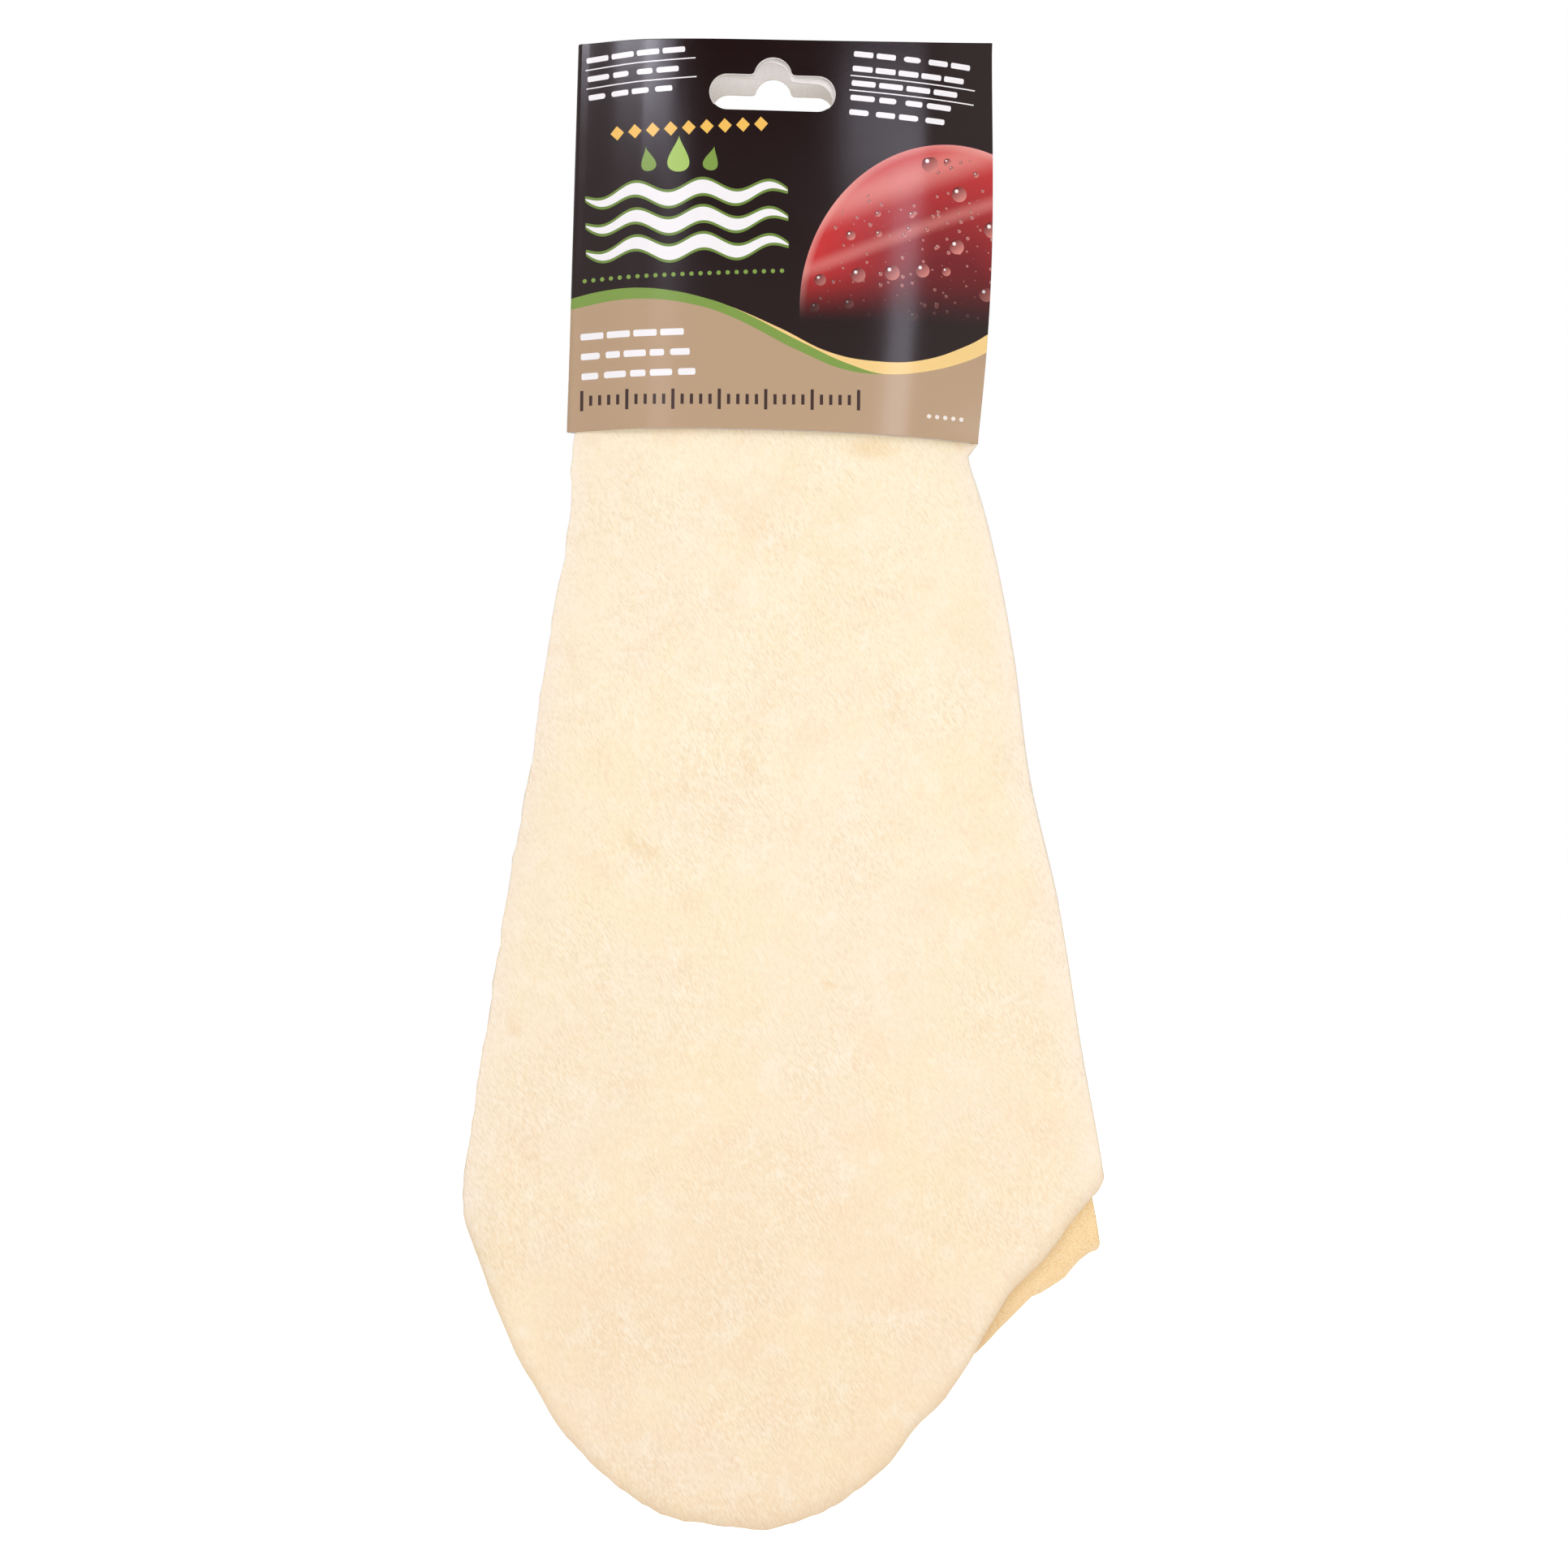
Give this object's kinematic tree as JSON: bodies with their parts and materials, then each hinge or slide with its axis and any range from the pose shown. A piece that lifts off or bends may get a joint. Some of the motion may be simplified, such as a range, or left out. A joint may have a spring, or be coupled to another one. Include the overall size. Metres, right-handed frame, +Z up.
{
  "type": "chamois leather in a hanging card sleeve",
  "caption": "Natural chamois leather for drying, folded into plies and tucked into a printed card sleeve with a euro hang slot; the skin pulls down out of the sleeve.",
  "frame": {"origin": "the crown of the hang slot, midway between the sleeve's two panels, where a display peg carries the object", "axes": "+Z up along the hanging skin, +X to the right of the front panel, the front panel faces -Y"},
  "size_m": [0.1645, 0.0193, 0.382],
  "materials": {
    "chamois": "matte",
    "printed_card": "satin",
    "hot_melt_glue": "satin"
  },
  "bodies": {
    "sleeve": {"card_sleeve": "printed_card", "seam_glue": "hot_melt_glue"},
    "skin": {"chamois_skin": "chamois"}
  },
  "joints": [
    {"name": "skin_pull", "type": "slide", "parent": "sleeve", "child": "skin", "axis": [0, 0, -1], "range_m": [0, 0.085]}
  ]
}
